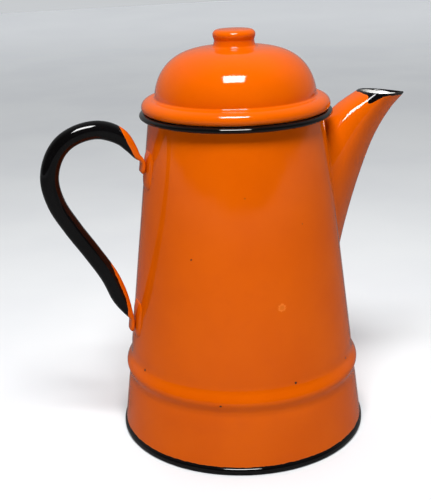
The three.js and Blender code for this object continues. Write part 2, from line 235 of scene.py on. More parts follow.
def cap(verts, row, outward):
    """A fan that closes a loop of vertices over its middle."""
    middle = Vector((0, 0, 0))
    for i in row:
        middle += Vector(verts[i])
    verts.append(tuple(middle / len(row)))
    centre = len(verts) - 1
    fan = []
    for k, i in enumerate(row):
        n = row[(k + 1) % len(row)]
        fan.append((centre, n, i) if outward else (centre, i, n))
    return fan


def waves(obj, amount, length, seed):
    """Slow unevenness of hand-finished enamelled sheet, in real geometry."""
    mesh = obj.data
    shift = Vector((seed * 3.7, seed * 1.3, seed * 2.1))
    places = [v.co.copy() for v in mesh.vertices]
    normals = [v.normal.copy() for v in mesh.vertices]
    moved = []
    for place, normal in zip(places, normals):
        p = place / (length * MM) + shift
        step = amount * MM * (noise.noise(p) + 0.3 * noise.noise(p * 2.7))
        moved.extend(place + normal * step)
    mesh.vertices.foreach_set("co", moved)
    mesh.update()


def mark(obj, name, distance):
    """Stores a signed distance in mm on the vertices, for a material to draw an edge at 0."""
    layer = obj.data.attributes.new(name, "FLOAT", "POINT")
    values = [distance(v.co.x / MM, v.co.y / MM, v.co.z / MM) for v in obj.data.vertices]
    layer.data.foreach_set("value", values)


# ---- Materials -------------------------------------------------------------------------

ORANGE = (0.66, 0.102, 0.0004)
ORANGE_DEEP = (0.58, 0.079, 0.0003)
ORANGE_THIN = (0.86, 0.23, 0.03)
BLACK = (0.0022, 0.002, 0.0021)
BLACK_SOFT = (0.005, 0.0045, 0.005)
WHITE = (0.74, 0.745, 0.73)
WHITE_DULL = (0.60, 0.60, 0.57)


class Nodes:
    """Small helper that adds shader nodes and links them."""

    def __init__(self, name):
        self.material = bpy.data.materials.new(name)
        self.material.use_nodes = True
        self.tree = self.material.node_tree
        self.tree.nodes.clear()
        self.out = self.tree.nodes.new("ShaderNodeOutputMaterial")

    def add(self, kind, **values):
        node = self.tree.nodes.new(kind)
        for key, value in values.items():
            if hasattr(node, key):
                setattr(node, key, value)
            else:
                node.inputs[key.replace("_", " ")].default_value = value
        return node

    def link(self, a, b):
        self.tree.links.new(a, b)

    def noise(self, source, scale, detail=2.0, roughness=0.5):
        node = self.add("ShaderNodeTexNoise")
        node.inputs["Scale"].default_value = scale
        node.inputs["Detail"].default_value = detail
        node.inputs["Roughness"].default_value = roughness
        self.link(source, node.inputs["Vector"])
        return node.outputs["Fac"]

    def ramp(self, value, low, high, out_low=0.0, out_high=1.0):
        node = self.add("ShaderNodeMapRange")
        node.interpolation_type = "SMOOTHSTEP"
        node.inputs["From Min"].default_value = low
        node.inputs["From Max"].default_value = high
        node.inputs["To Min"].default_value = out_low
        node.inputs["To Max"].default_value = out_high
        self.link(value, node.inputs["Value"])
        return node.outputs["Result"]

    def math(self, operation, a, b=None):
        node = self.add("ShaderNodeMath", operation=operation)
        for i, value in enumerate((a, b)):
            if value is None:
                continue
            if isinstance(value, (int, float)):
                node.inputs[i].default_value = value
            else:
                self.link(value, node.inputs[i])
        return node.outputs[0]

    def mix(self, factor, a, b):
        node = self.add("ShaderNodeMix", data_type="RGBA")
        sockets = {s.identifier: s for s in node.inputs}
        self.link(factor, sockets["Factor_Float"])
        for key, value in (("A_Color", a), ("B_Color", b)):
            if isinstance(value, tuple):
                sockets[key].default_value = (*value, 1)
            else:
                self.link(value, sockets[key])
        return {s.identifier: s for s in node.outputs}["Result_Color"]

    def bump(self, height, distance, strength):
        node = self.add("ShaderNodeBump")
        node.inputs["Distance"].default_value = distance
        node.inputs["Strength"].default_value = strength
        self.link(height, node.inputs["Height"])
        return node.outputs["Normal"]


def spot_mask(nodes, place, radius, ragged):
    """1 inside a ragged round spot at a place in metres."""
    offset = nodes.add("ShaderNodeVectorMath", operation="DISTANCE")
    nodes.link(nodes.place, offset.inputs[0])
    offset.inputs[1].default_value = place
    distance = nodes.math("ADD", offset.outputs["Value"], ragged)
    return nodes.ramp(distance, radius * 0.8, radius * 1.1, 1.0, 0.0)


def on_wall(angle, z):
    """Point on the pot's outside in metres: angle about +Z from +X in degrees, height in mm."""
    r = wall_r(z) + swage(z)
    a = math.radians(angle)
    return (r * math.cos(a) * MM, r * math.sin(a) * MM, z * MM)


def enamel(name, body, second=None, edge=None, specks=(), chips=(), wear=None):
    """Fired glass enamel: even colour with slow drifts in thickness, pinholes, and a second
    enamel where the vertex attribute `edge`, roughened by noise, is above 0."""
    colours = {
        "orange": (ORANGE, ORANGE_DEEP),
        "black": (BLACK, BLACK_SOFT),
        "white": (WHITE, WHITE_DULL),
    }
    n = Nodes(name)
    shader = n.add("ShaderNodeBsdfPrincipled")
    n.link(shader.outputs[0], n.out.inputs["Surface"])
    coordinates = n.add("ShaderNodeTexCoord")
    n.place = coordinates.outputs["Object"]

    drift = n.noise(n.place, 26, 3)
    cloud = n.noise(n.place, 140, 2)
    fine = n.noise(n.place, 900, 2)
    base, deep = colours[body]
    tone = n.ramp(drift, 0.3, 0.75, 0.0, 0.55)
    colour = n.mix(tone, base, deep)
    mottle = n.ramp(cloud, 0.55, 0.8, 0.0, 0.16)
    colour = n.mix(mottle, colour, deep)

    pin = n.add("ShaderNodeTexVoronoi", feature="F1")
    pin.inputs["Scale"].default_value = 75
    n.link(n.place, pin.inputs["Vector"])
    dot = n.ramp(pin.outputs["Distance"], 0.012, 0.028, 1.0, 0.0)
    rare = n.add("ShaderNodeSeparateColor")
    n.link(pin.outputs["Color"], rare.inputs[0])
    seldom = n.math("GREATER_THAN", rare.outputs[0], 0.93)
    dot = n.math("MULTIPLY", dot, seldom)
    dark = (0.02, 0.008, 0.004) if body != "black" else (0.05, 0.045, 0.04)
    colour = n.mix(dot, colour, dark)

    ragged = n.math("MULTIPLY", n.math("SUBTRACT", n.noise(n.place, 1400, 3), 0.5), 0.0011)
    height = n.math("MULTIPLY", cloud, 0.6)
    height = n.math("ADD", height, n.math("MULTIPLY", fine, 0.12))
    rough = n.ramp(cloud, 0.3, 0.8, 0.055, 0.1)

    for angle, z, radius in specks:
        mask = spot_mask(n, on_wall(angle, z), radius * MM, ragged)
        colour = n.mix(mask, colour, (0.03, 0.012, 0.006))
        rough = n.math("MAXIMUM", rough, n.math("MULTIPLY", mask, 0.4))
    for angle, z, radius in chips:
        mask = spot_mask(n, on_wall(angle, z), radius * MM, n.math("MULTIPLY", ragged, 3.0))
        core = spot_mask(n, on_wall(angle, z), radius * 0.62 * MM, n.math("MULTIPLY", ragged, 3.0))
        colour = n.mix(n.math("MULTIPLY", mask, 0.6), colour, ORANGE_THIN)
        colour = n.mix(n.math("MULTIPLY", core, 0.8), colour, (0.66, 0.13, 0.006))
        height = n.math("SUBTRACT", height, n.math("MULTIPLY", mask, 2.6))
        height = n.math("ADD", height, n.math("MULTIPLY", core, 1.4))

    if second:
        attribute = n.add("ShaderNodeAttribute", attribute_name=edge)
        lobes = n.math("SUBTRACT", n.noise(n.place, 210, 3, 0.6), 0.5)
        line = n.math("ADD", attribute.outputs["Fac"], n.math("MULTIPLY", lobes, 1.5))
        mask = n.ramp(line, -0.09, 0.09)
        other, other_deep = colours[second]
        shade = n.mix(tone, other, other_deep)
        thin = n.ramp(line, -0.9, -0.02)
        thin = n.math("MULTIPLY", thin, 0.35)
        colour = n.mix(thin, colour, deep)
        pale = n.math("MULTIPLY", n.ramp(line, -0.42, -0.26), n.ramp(line, -0.2, -0.1, 0.45, 0.0))
        colour = n.mix(pale, colour, ORANGE_THIN if body == "orange" else base)
        colour = n.mix(mask, colour, shade)
        height = n.math("ADD", height, n.math("MULTIPLY", n.ramp(line, -0.25, 0.3), 2.2))

    if wear:
        attribute = n.add("ShaderNodeAttribute", attribute_name=wear)
        rub = n.math("SUBTRACT", n.noise(n.place, 420, 4, 0.65), 0.5)
        worn = n.math("ADD", attribute.outputs["Fac"], n.math("MULTIPLY", rub, 2.4))
        mask = n.ramp(worn, -0.05, 0.12)
        bare = n.mix(n.ramp(fine, 0.4, 0.7), (0.62, 0.42, 0.28), (0.78, 0.66, 0.55))
        colour = n.mix(mask, colour, bare)
        rough = n.math("MAXIMUM", rough, n.math("MULTIPLY", mask, 0.42))

    n.link(colour, shader.inputs["Base Color"])
    n.link(rough, shader.inputs["Roughness"])
    shader.inputs["IOR"].default_value = ENAMEL_IOR
    specular = BLACK_SPECULAR if body == "black" else ENAMEL_SPECULAR
    shader.inputs["Specular IOR Level"].default_value = specular
    n.link(n.bump(height, BUMP_DEPTH, BUMP_STRENGTH), shader.inputs["Normal"])
    return n.material


WALL_SPECKS = [
    (-134.5, 123.3, 0.55), (-42.6, 50.4, 0.7), (-81.6, 51.1, 0.75), (-118, 42, 0.6),
    (-164.6, 49.7, 0.8), (178, 64.5, 0.7), (-104, 158, 0.3), (-70, 140, 0.3),
    (60, 52, 0.8), (95, 120, 0.5), (130, 38, 0.6), (150, 150, 0.45), (35, 20, 0.6),
]
WALL_CHIPS = [(-86.5, 96, 2.3), (118, 74, 1.6)]

orange_wall = enamel("orange_wall", "orange", "black", "edge", WALL_SPECKS, WALL_CHIPS)
orange_edged = enamel("orange_edged", "orange", "black", "edge")
orange_lid = enamel("orange_lid", "orange", wear="rub")
orange_plain = enamel("orange_plain", "orange")
black_rim = enamel("black_rim", "black", "white", "edge")
black_plain = enamel("black_plain", "black", wear="rub")
white_plain = enamel("white_plain", "white")
white_edged = enamel("white_edged", "white", "black", "edge")

# ---- Pot wall --------------------------------------------------------------------------


def spout_curves():
    tip = Vector((NECK_R + SPOUT_REACH, 0, POT_H - SPOUT_TIP_DROP))
    back = tip + Vector((-SPOUT_MOUTH_L, 0, SPOUT_MOUTH_RISE))
    shoulder = Vector((wall_r(shoulder_z), 0, shoulder_z))
    heel = Vector((wall_r(SPOUT_ROOT_Z), 0, SPOUT_ROOT_Z))
    ridge_mid = shoulder.lerp(back, 0.55) + Vector((-1, 0, 1.4))
    ridge_start = shoulder - (ridge_mid - shoulder) * 0.5
    rise = tip - heel

    def along(x, z):
        return Vector((heel.x + rise.x * x, 0, heel.z + rise.z * z))

    ridge = [ridge_start, shoulder, ridge_mid, back]
    keel = [along(-0.035, -0.075), along(0.16, 0.28), along(0.36, 0.55)]
    keel += [along(0.58, 0.775), along(0.82, 0.925), tip]
    return smooth_line(ridge), smooth_line(keel)


def smooth_line(points, per=60):
    """Centripetal Catmull-Rom curve through the points, with its running length."""
    pts = [np.array(p, float) for p in points]
    pts = [2 * pts[0] - pts[1]] + pts + [2 * pts[-1] - pts[-2]]
    out = []
    for i in range(1, len(pts) - 2):
        p0, p1, p2, p3 = pts[i - 1:i + 3]
        d0 = np.linalg.norm(p1 - p0) ** 0.5
        d1 = np.linalg.norm(p2 - p1) ** 0.5
        d2 = np.linalg.norm(p3 - p2) ** 0.5
        t1 = ((p1 - p0) / d0 - (p2 - p0) / (d0 + d1) + (p2 - p1) / d1) * d1
        t2 = ((p2 - p1) / d1 - (p3 - p1) / (d1 + d2) + (p3 - p2) / d2) * d1
        for k in range(per):
            t = k / per
            c2 = -3 * p1 + 3 * p2 - 2 * t1 - t2
            c3 = 2 * p1 - 2 * p2 + t1 + t2
            out.append(p1 + t1 * t + c2 * t * t + c3 * t ** 3)
    out.append(pts[-2])
    line = np.array(out)
    lengths = np.concatenate([[0], np.cumsum(np.linalg.norm(np.diff(line, axis=0), axis=1))])
    return line, lengths


def at(curve, share):
    """Point at a share of the curve's length; past its end it runs on straight."""
    line, lengths = curve
    s = share * lengths[-1]
    p = np.array([np.interp(s, lengths, line[:, i]) for i in range(3)])
    if s > lengths[-1]:
        way = line[-1] - line[-2]
        p = line[-1] + way / np.linalg.norm(way) * (s - lengths[-1])
    return p


SPOUT_RIDGE, SPOUT_KEEL = spout_curves()


def spout_half(count):
    """Half of the spout's section: rounded at the ridge (x = 0), pointed at the keel (x = 1)."""
    half = []
    for i in range(count + 1):
        angle = math.pi / 2 * i / count
        half.append((SPOUT_WIDEST * (1 - max(math.cos(angle), 0.0) ** SPOUT_SQUARE),
                     math.sin(angle) ** SPOUT_SQUARE))
    for i in range(1, count + 1):
        x = i / count
        half.append((SPOUT_WIDEST + (1 - SPOUT_WIDEST) * x, 1 - x ** SPOUT_FULLNESS))
    return half


def spout_section(count):
    half = spout_half(count)
    return [(x, -y) for x, y in half] + [(x, y) for x, y in half[1:-1][::-1]]


def spout_point(x, y, u, inset=0.0, keel_inset=0.0):
    top, bottom = at(SPOUT_RIDGE, u), at(SPOUT_KEEL, u)
    across = bottom - top
    depth = np.linalg.norm(across)
    width = (SPOUT_ROOT_W + (SPOUT_MOUTH_W - SPOUT_ROOT_W) * min(u, 1)) / 2 - inset
    p = top + across / depth * (inset + x * (depth - inset - keel_inset))
    p[1] = y * width
    return p


def spout_root(x, y, inset=0.0, keel_inset=0.0, proud=0.0):
    """Share of the spout's length at which a line of its skin comes out of the wall."""
    low, high = 0.0, 1.0
    for _ in range(40):
        u = (low + high) / 2
        p = spout_point(x, y, u, inset, keel_inset)
        if math.hypot(p[0], p[1]) < wall_r(p[2]) + proud:
            low = u
        else:
            high = u
    return high


SPOUT_COUNT = 26
DRIP_AT = 0.23
section = spout_section(SPOUT_COUNT)
root_shares = [spout_root(x, y) for x, y in section]
root_loop = [spout_point(x, y, u) for (x, y), u in zip(section, root_shares)]


def in_spout(y, z):
    """True where a point of the wall's +X side lies inside the spout's root."""
    inside = False
    for a, b in zip(root_loop, root_loop[1:] + root_loop[:1]):
        if (a[2] > z) != (b[2] > z):
            if y < a[1] + (z - a[2]) / (b[2] - a[2]) * (b[1] - a[1]):
                inside = not inside
    return inside


def build_wall():
    low, high = SEAM_H - 1.5, roll_bottom_z + 0.4
    heights = [low]
    while heights[-1] < high:
        near = abs(heights[-1] - SWAGE_Z) < 14
        heights.append(min(heights[-1] + (0.7 if near else 2.6), high))
    outside = [(wall_r(z) + swage(z), z) for z in heights]
    inside = offset_left(outside, SHEET)[::-1]
    count = len(outside)
    obj = revolve("wall_enamel", outside + inside, [orange_wall, white_plain],
                  lambda i: 0 if i < count - 1 else 1)
    mesh = obj.data
    for face in mesh.polygons:
        c = face.center / MM
        if face.material_index == 0 and c.x > 0 and in_spout(c.y, c.z):
            face.material_index = 1
    waves(obj, 0.05, 30, 1)
    drills = []
    rows = int((shoulder_z - STRAINER_HIGH - STRAINER_LOW_Z) // STRAINER_PITCH) + 1
    for row in range(rows):
        holes = 2 + row % 2
        for i in range(holes):
            y = (i - (holes - 1) / 2) * STRAINER_PITCH
            z = STRAINER_LOW_Z + row * STRAINER_PITCH
            drills.append((wall_r(z), y, z))
    cutter = drill_mesh(drills)
    cut = obj.modifiers.new("strainer", "BOOLEAN")
    cut.object = cutter
    cut.operation = "DIFFERENCE"
    cut.solver = "EXACT"
    bpy.context.view_layer.objects.active = obj
    bpy.ops.object.modifier_apply(modifier="strainer")
    bpy.data.objects.remove(cutter)
    mark(obj, "edge", lambda x, y, z: max(SEAM_H + 0.55 - z, z - (roll_bottom_z - 0.4)))
    return obj


def drill_mesh(places, sides=24):
    verts, faces = [], []
    for x, y, z in places:
        start = len(verts)
        for end in (-6, 6):
            for k in range(sides):
                angle = 2 * math.pi * k / sides
                verts.append((x + end, y + math.cos(angle) * STRAINER_D / 2,
                              z + math.sin(angle) * STRAINER_D / 2))
        for k in range(sides):
            n = (k + 1) % sides
            faces.append((start + k, start + n, start + sides + n, start + sides + k))
        faces.append(tuple(start + k for k in reversed(range(sides))))
        faces.append(tuple(start + sides + k for k in range(sides)))
    return make_object("strainer_drills", verts, faces, [white_plain])


wall = build_wall()
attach(wall, "pot")
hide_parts("pot_wall")

# ---- Rolled rim ------------------------------------------------------------------------


# The inside turns from black to white this far below the middle of the roll.
WHITE_BELOW_ROLL = 1.6


def build_rim():
    width, height = (SHEET + ROLL_OUT) / 2, ROLL_H / 2
    centre = mouth_r + width
    tail = -math.degrees(math.acos((NECK_R + 0.45 - centre) / width))
    outer = arc(centre, roll_mid_z, width, height, tail, 180, 44)
    leg = [(mouth_r, roll_bottom_z), (mouth_r + 0.1, roll_bottom_z - 0.1),
           (NECK_R - 0.1, roll_bottom_z - 0.1), (NECK_R, roll_bottom_z)]
    inner = arc(centre, roll_mid_z, width - SHEET, height - SHEET, 180, tail + 10, 24)
    tip = [(inner[-1][0] + 0.01, inner[-1][1])]
    obj = revolve("rim_enamel", outer + densify(leg, 1.0) + inner + tip, [black_rim])
    waves(obj, 0.09, 17, 5)
    mark(obj, "edge", lambda x, y, z: roll_mid_z - WHITE_BELOW_ROLL - z
         if math.hypot(x, y) < mouth_r + 0.4 else -5.0)
    return obj


rim = build_rim()
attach(rim, "pot")
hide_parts("rim_roll")

# ---- Base pan --------------------------------------------------------------------------


def build_base():
    seam = arc(FOOT_R - 1.7, 1.7, 1.7, 1.7, -90, 0, 10)
    seam += arc(FOOT_R - 1.7, SEAM_H - 1.9, 1.7, 1.9, 0, 80, 10)
    foot = wall_r(SEAM_H)
    flange_r = wall_r(PAN_FLANGE_H) - SHEET - FIT
    flange = [(foot + 0.05, SEAM_H + 0.12), (foot - 0.5, SEAM_H + 0.2),
              (foot - SHEET - FIT, SEAM_H + 0.2), (flange_r, PAN_FLANGE_H),
              (flange_r - SHEET + 0.3, PAN_FLANGE_H + 0.25), (flange_r - SHEET, PAN_FLANGE_H)]
    corner = arc(wall_r(4) - 2 * SHEET - FIT - 2, SHEET + 2, 2, 2, 0, -90, 8)
    underside = densify([(0, 0), (60, 0), (FOOT_R - 1.7, 0)], 6)
    inside = densify([corner[-1], (0, SHEET)], 6)
    outline = underside[:-1] + seam + flange + corner[:-1] + inside
    first_white = len(underside) - 1 + len(seam) + 2
    obj = revolve("base_enamel", outline, [black_plain, white_plain],
                  lambda i: 0 if i < first_white else 1)
    waves(obj, 0.08, 15, 9)
    mark(obj, "rub", lambda x, y, z: -1.15 if z > 0.25 else
         0.05 - abs(math.hypot(x, y) - 71.5) * 0.35)
    return obj


base = build_base()
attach(base, "pot")
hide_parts("base_pan")

# ---- Spout -----------------------------------------------------------------------------


def build_spout():
    outside_rows, inside_rows = [], []
    steps = 54
    for i in range(steps + 1):
        share = i / steps
        row = []
        for (x, y), start in zip(section, root_shares):
            row.append(spout_point(x, y, start + (1 - start) * share))
        outside_rows.append(row)

    # An enamel fillet runs round the root, from the wall into the spout's skin.
    middle = sum((np.array(p) for p in root_loop), np.zeros(3)) / len(root_loop)
    count = len(section)
    reach, climb, fillet_steps = 2.6, 2.4, 7
    fillet = [[] for _ in range(fillet_steps)]
    for k in range(count):
        p = np.array(root_loop[k])
        ahead, behind = root_loop[(k + 1) % count], root_loop[k - 1]
        tangent = np.array(ahead) - np.array(behind)
        tangent /= np.linalg.norm(tangent)
        normal = np.array((p[0], p[1], taper * math.hypot(p[0], p[1])))
        normal /= np.linalg.norm(normal)
        away = np.cross(tangent, normal)
        away /= np.linalg.norm(away)
        if away @ (p - middle) < 0:
            away = -away
        foot = p + away * reach
        flat = math.hypot(foot[0], foot[1])
        foot[:2] *= (wall_r(foot[2]) - 0.08) / flat
        skin = np.array(climb_up(k, climb, outside_rows))
        for j in range(fillet_steps):
            t = j / fillet_steps
            q = foot * (1 - t) ** 2 + p * 2 * t * (1 - t) + skin * t * t
            fillet[j].append(q)
    start_rows = [[slide_up(k, climb, outside_rows, i / steps) for k in range(count)]
                  for i in range(steps + 1)]
    rows = fillet + start_rows

    # Rounded lip, then the inside back down to the wall.
    lip = []
    turns = 7
    for j in range(1, turns):
        angle = math.pi * j / turns
        lift = math.sin(angle) * SHEET / 2
        t = (1 - math.cos(angle)) / 2
        lip.append([spout_point(x, y, 1 + lift / SPOUT_RIDGE[1][-1], SHEET * t,
                                SPOUT_KEEL_SHEET * t) for x, y in section])
    inner_steps = 30
    inner_roots = [spout_root(x, y, SHEET, SPOUT_KEEL_SHEET, -0.3) for x, y in section]
    for i in range(inner_steps + 1):
        share = 1 - i / inner_steps
        inside_rows.append([spout_point(x, y, start + (1 - start) * share, SHEET,
                                        SPOUT_KEEL_SHEET)
                            for (x, y), start in zip(section, inner_roots)])
    rows += lip + inside_rows
    verts, faces = grid([[tuple(p) for p in row] for row in rows], wrap_rows=True)
    first_inner = len(fillet) + len(start_rows) + 3
    slots = [0 if f // count < first_inner else 1 for f in range(len(faces))]
    obj = make_object("spout_enamel", verts, faces, [orange_edged, white_edged], slots)
    waves(obj, 0.02, 22, 3)

    layer = obj.data.attributes.new("edge", "FLOAT", "POINT")
    mouth_row = len(fillet) + len(start_rows) - 1
    tip = SPOUT_KEEL[0][-1]
    back = SPOUT_RIDGE[0][-1]
    plane = np.cross(tip - back, (0, 1, 0))
    plane /= np.linalg.norm(plane)
    if plane[2] < 0:
        plane = -plane
    values = []
    for i, row in enumerate(rows):
        for k, p in enumerate(row):
            below = -float((np.array(p) - back) @ plane)
            x, y = section[k]
            outer = 0.55 + drip(x, y)
            inner = 0.1
            values.append((outer if i <= mouth_row else inner) - below)
    layer.data.foreach_set("value", values)
    return obj


def drip(x, y):
    """How far black enamel has run down the outside of the mouth, round its section."""
    return 5.0 * math.exp(-(((x - DRIP_AT) / 0.11) ** 2)) if y < 0 else 0.0


def climb_up(k, distance, rows):
    """Point of skin line k at a distance from the root."""
    left = distance
    for lower, upper in zip(rows, rows[1:]):
        step = np.linalg.norm(upper[k] - lower[k])
        if step >= left:
            return lower[k] + (upper[k] - lower[k]) * (left / step)
        left -= step
    return rows[-1][k]


def slide_up(k, distance, rows, share):
    """Point of skin line k at a share of what is left above a distance from the root."""
    total = sum(np.linalg.norm(b[k] - a[k]) for a, b in zip(rows, rows[1:]))
    return np.array(climb_up(k, distance + (total - distance) * share, rows))


spout = build_spout()
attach(spout, "pot")
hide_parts("spout_shell")

# ---- Handle ----------------------------------------------------------------------------


def strap_x(z):
    return wall_r(z) + FIT + PLATE_T + FIT + STRAP_T / 2


def handle_line():
    top_x, low_x = strap_x(handle_top_z), strap_x(HANDLE_LOW_Z)
    reach = wall_r(handle_top_z) + HANDLE_REACH - top_x
    span = handle_top_z - HANDLE_LOW_Z
    bend = STRAP_T
    points = [(strap_x(handle_top_z - TONGUE_L), handle_top_z - TONGUE_L),
              (strap_x(handle_top_z - bend), handle_top_z - bend),
              (top_x + bend * 0.5, handle_top_z),
              (top_x + bend * 1.4, handle_top_z + bend * 0.8)]
    arch = [(0.12, 0.36), (0.21, 0.69), (0.33, 0.9), (0.48, 1), (0.67, 0.92),
            (0.83, 0.68), (0.94, 0.28)]
    points += [(top_x + reach * x, handle_top_z + HANDLE_CROWN * z) for x, z in arch]
    grip = [(1, 0.07), (0.95, 0.22), (0.8, 0.38), (0.61, 0.55), (0.44, 0.715)]
    points += [(top_x + reach * x, handle_top_z - span * z) for x, z in grip]
    points += [(low_x + bend * 2.4, HANDLE_LOW_Z + bend * 5),
               (low_x + bend * 1.1, HANDLE_LOW_Z + bend * 2),
               (low_x + bend * 0.2, HANDLE_LOW_Z),
               (strap_x(HANDLE_LOW_Z - bend), HANDLE_LOW_Z - bend),
               (strap_x(HANDLE_LOW_Z - TONGUE_L), HANDLE_LOW_Z - TONGUE_L)]
    return smooth_line([(-x, 0, z) for x, z in points])


def polyline_side(points, x, z):
    """Distance in mm to a line of (x, z) points, above 0 on its left."""
    best, sign = 1e9, 1.0
    for (ax, az), (bx, bz) in zip(points, points[1:]):
        dx, dz = bx - ax, bz - az
        t = max(0.0, min(1.0, ((x - ax) * dx + (z - az) * dz) / (dx * dx + dz * dz)))
        gap = math.hypot(x - ax - dx * t, z - az - dz * t)
        if gap < best:
            best = gap
            sign = 1.0 if dx * (z - az) - dz * (x - ax) > 0 else -1.0
    return best * sign


# Where the black dip ends: lines in the XZ plane, from outside the handle towards the pot.
BLACK_TOP = [(-71, 199), (-68.9, 192), (-66.5, 186), (-64, 180), (-61, 173.6), (-52.8, 170.3)]
BLACK_LOW = [(-79.5, 117), (-78.8, 112), (-75.3, 102), (-72.1, 92.3), (-71, 84.5), (-69.4, 79.4)]


# The tongues turned down against the plates, nearer the pot than these, are orange.
TONGUE_TOP_X = -59.6
TONGUE_LOW_X = -71.2


def build_handle():
    curve = handle_line()
    length = curve[1][-1]
    stations, around = 190, 40
    rows = []
    for i in range(stations + 1):
        u = i / stations
        s = u * length
        p = at(curve, u)
        way = at(curve, min(u + 0.002, 1)) - at(curve, max(u - 0.002, 0))
        way /= np.linalg.norm(way)
        normal = np.cross((0, 1, 0), way)
        from_top, from_low = s - TONGUE_L, length - s - TONGUE_L
        full = max(0.0, min(from_top / PRESSED_TOP, from_low / PRESSED_LOW, 1))
        full = math.sin(math.pi / 2 * full)
        thick = STRAP_T + (HANDLE_D - STRAP_T) * full
        wide = STRAP_W + (HANDLE_D - STRAP_W) * full
        power = 2 / (3.4 - 1.4 * full)
        end = min(s, length - s)
        shrink = math.sqrt(max(0.0, 1 - (1 - min(end / 3.0, 1)) ** 2)) if end < 3 else 1
        thin = math.sqrt(max(0.02, 1 - (1 - min(end / 0.9, 1)) ** 2)) if end < 0.9 else 1
        row = []
        for k in range(around):
            angle = 2 * math.pi * k / around
            c, sn = math.cos(angle), math.sin(angle)
            a = math.copysign(abs(c) ** power, c) * thick / 2 * thin
            b = math.copysign(abs(sn) ** power, sn) * wide / 2 * (0.45 + 0.55 * shrink)
            q = p + normal * a
            row.append((q[0], q[1] + b, q[2]))
        rows.append(row)
    verts, faces = grid(rows)
    faces += cap(verts, list(range(around)), True)
    faces += cap(verts, list(range(stations * around, (stations + 1) * around)), False)
    obj = make_object("handle_enamel", verts, faces, [orange_edged])
    if flipped(obj):
        obj.data.flip_normals()
    waves(obj, 0.05, 14, 7)

    def black(x, y, z):
        if z > 150:
            return min(-polyline_side(BLACK_TOP, x, z), TONGUE_TOP_X - x)
        if z < 122:
            return min(-polyline_side(BLACK_LOW, x, z), TONGUE_LOW_X - x)
        return 5.0

    mark(obj, "edge", black)
    return obj


def flipped(obj):
    """True where a closed mesh has its faces pointing in."""
    volume = 0.0
    obj.data.calc_loop_triangles()
    for tri in obj.data.loop_triangles:
        a, b, c = (obj.data.vertices[i].co for i in tri.vertices)
        volume += a.dot(b.cross(c))
    return volume < 0


handle = build_handle()
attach(handle, "pot")
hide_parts("handle_tube")


def build_plate(name, middle_z, seed):
    """Plate curved to the wall, crowned at its edges where the enamel runs over them."""
    outline, rings = 72, 16
    round_r = PLATE_W / 3
    w, h = PLATE_W / 2 - round_r, PLATE_H / 2 - round_r
    loop = []
    for k in range(outline):
        quarter, t = divmod(k / outline * 4, 1)
        cx = (w, -w, -w, w)[int(quarter)]
        cy = (h, h, -h, -h)[int(quarter)]
        angle = math.radians(90 * (quarter + t))
        loop.append((cx + round_r * math.cos(angle), cy + round_r * math.sin(angle)))
    rows = []
    for j in range(rings):
        share = 1 - (j / (rings - 1)) ** 1.6 * 0.9
        rim_gap = (1 - share) * PLATE_W / 2
        lift = PLATE_T * (1 - math.exp(-(rim_gap / 1.9))) + FIT * 0.6
        row = []
        for y, dz in loop:
            z = middle_z + dz * share
            r = wall_r(z) + (lift if j else -0.1)
            yy = y * share
            row.append((-math.sqrt(r * r - yy * yy), -yy, z))
        rows.append(row)
    verts, faces = grid(rows)
    faces += cap(verts, list(range((rings - 1) * outline, rings * outline)), True)
    back = []
    for y, dz in loop:
        z = middle_z + dz * 0.97
        r = wall_r(z) - 0.35
        yy = y * 0.97
        back.append((-math.sqrt(r * r - yy * yy), -yy, z))
    start = len(verts)
    verts += back
    for k in range(outline):
        n = (k + 1) % outline
        faces.append((k, start + k, start + n, n))
    faces += cap(verts, list(range(start, start + outline)), False)
    obj = make_object(name, verts, faces, [orange_plain])
    if flipped(obj):
        obj.data.flip_normals()
    waves(obj, 0.06, 8, seed)
    return obj


for label, node, middle_z, seed in (
    ("plate_upper_enamel", "handle_plate_upper", handle_top_z - UPPER_PLATE_DROP, 12),
    ("plate_lower_enamel", "handle_plate_lower", HANDLE_LOW_Z - LOWER_PLATE_DROP, 13),
):
    plate = build_plate(label, middle_z, seed)
    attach(plate, "pot")
    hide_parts(node)

# ---- Lid -------------------------------------------------------------------------------


def dome_outline(from_z, steps=46):
    points = []
    first = math.asin(((from_z - brim_top_z) / DOME_H) ** (1 / DOME_CROWN))
    for i in range(steps):
        angle = first + (math.pi / 2 - first) * i / steps
        points.append((dome_r * math.cos(angle) ** DOME_SIDE,
                       brim_top_z + DOME_H * math.sin(angle) ** DOME_CROWN))
    points += [(dome_r * 0.06, dome_top_z), (0, dome_top_z)]
    return points


def build_lid():
    widest_z = brim_bottom_z + BRIM_UNDER
    tuck_r, tuck_h = BRIM_TUCK * 2, BRIM_UNDER / math.sin(math.radians(60))
    fillet_r = dome_r + BRIM_FILLET
    outside = [(brim_r - BRIM_TUCK - 0.3, brim_bottom_z)]
    outside += arc(brim_r - tuck_r, widest_z, tuck_r, tuck_h, -58, 0, 9)
    outside += arc(brim_r - BRIM_SHOULDER, widest_z, BRIM_SHOULDER, BRIM_H - BRIM_UNDER, 5, 90, 22)
    outside += arc(fillet_r, brim_top_z + BRIM_FILLET, BRIM_FILLET, BRIM_FILLET, 270, 180, 10)
    outside += dome_outline(brim_top_z + BRIM_FILLET + 1)
    inside = offset_left(outside, LID_T)[::-1]
    inside[0] = (0, dome_top_z - LID_T)
    edge = (brim_r - BRIM_TUCK - LID_T, brim_bottom_z)
    inside = inside[:-2] + [(edge[0], edge[1] + 0.2), (edge[0] + 0.25, edge[1])]
    count = len(inside)
    obj = revolve("lid_enamel", inside + outside, [orange_lid, white_plain],
                  lambda i: 1 if i < count - 1 else 0)
    waves(obj, 0.04, 22, 21)
    mark(obj, "rub", lambda x, y, z: (brim_bottom_z - 0.3 - z) * 1.6
         if math.hypot(x, y) > brim_r - 3 else -3.0)
    return obj


